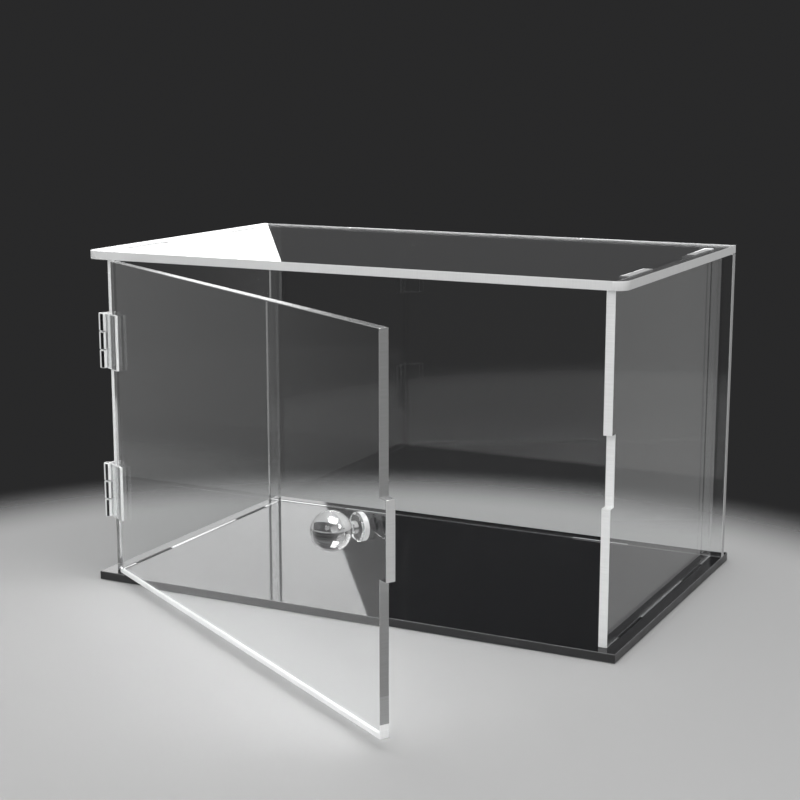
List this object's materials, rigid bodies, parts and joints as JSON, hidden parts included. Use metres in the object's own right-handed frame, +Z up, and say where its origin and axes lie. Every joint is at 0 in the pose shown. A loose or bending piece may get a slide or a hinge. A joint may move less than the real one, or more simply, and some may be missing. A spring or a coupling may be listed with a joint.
{
  "type": "acrylic display case",
  "caption": "Clear acrylic display case: slotted sheets on a black base plate, with a side-hung front door on pinned clear hinges and a ball knob.",
  "frame": {"origin": "centre of the base plate's underside", "axes": "+Z up; -Y towards the front, where the door opens; +X towards the catch side, away from the hinges"},
  "size_m": [0.3345, 0.3826, 0.2],
  "materials": {
    "black_acrylic": "polished black acrylic sheet",
    "clear_acrylic": "clear acrylic sheet with bright polished edges",
    "clear_hinge": "clear moulded plastic",
    "pin_steel": "darkened steel wire",
    "clear_knob": "clear polished acrylic, turned"
  },
  "bodies": {
    "case": {"base_plate": "black_acrylic", "top_plate": "clear_acrylic", "left_panel": "clear_acrylic", "right_panel": "clear_acrylic", "back_panel": "clear_acrylic", "upper_hinge_case_leaf": "clear_hinge", "upper_hinge_pin": "pin_steel", "lower_hinge_case_leaf": "clear_hinge", "lower_hinge_pin": "pin_steel"},
    "door": {"door_panel": "clear_acrylic", "upper_hinge_door_leaf": "clear_hinge", "lower_hinge_door_leaf": "clear_hinge", "knob_ball": "clear_knob", "knob_flange": "clear_knob"}
  },
  "joints": [
    {"name": "door_swing", "type": "hinge", "parent": "case", "child": "door", "pos_m": [-0.1595, -0.1013, 0.1], "axis": [0, 0, -1], "range_deg": [-31.4, 233.6]}
  ]
}
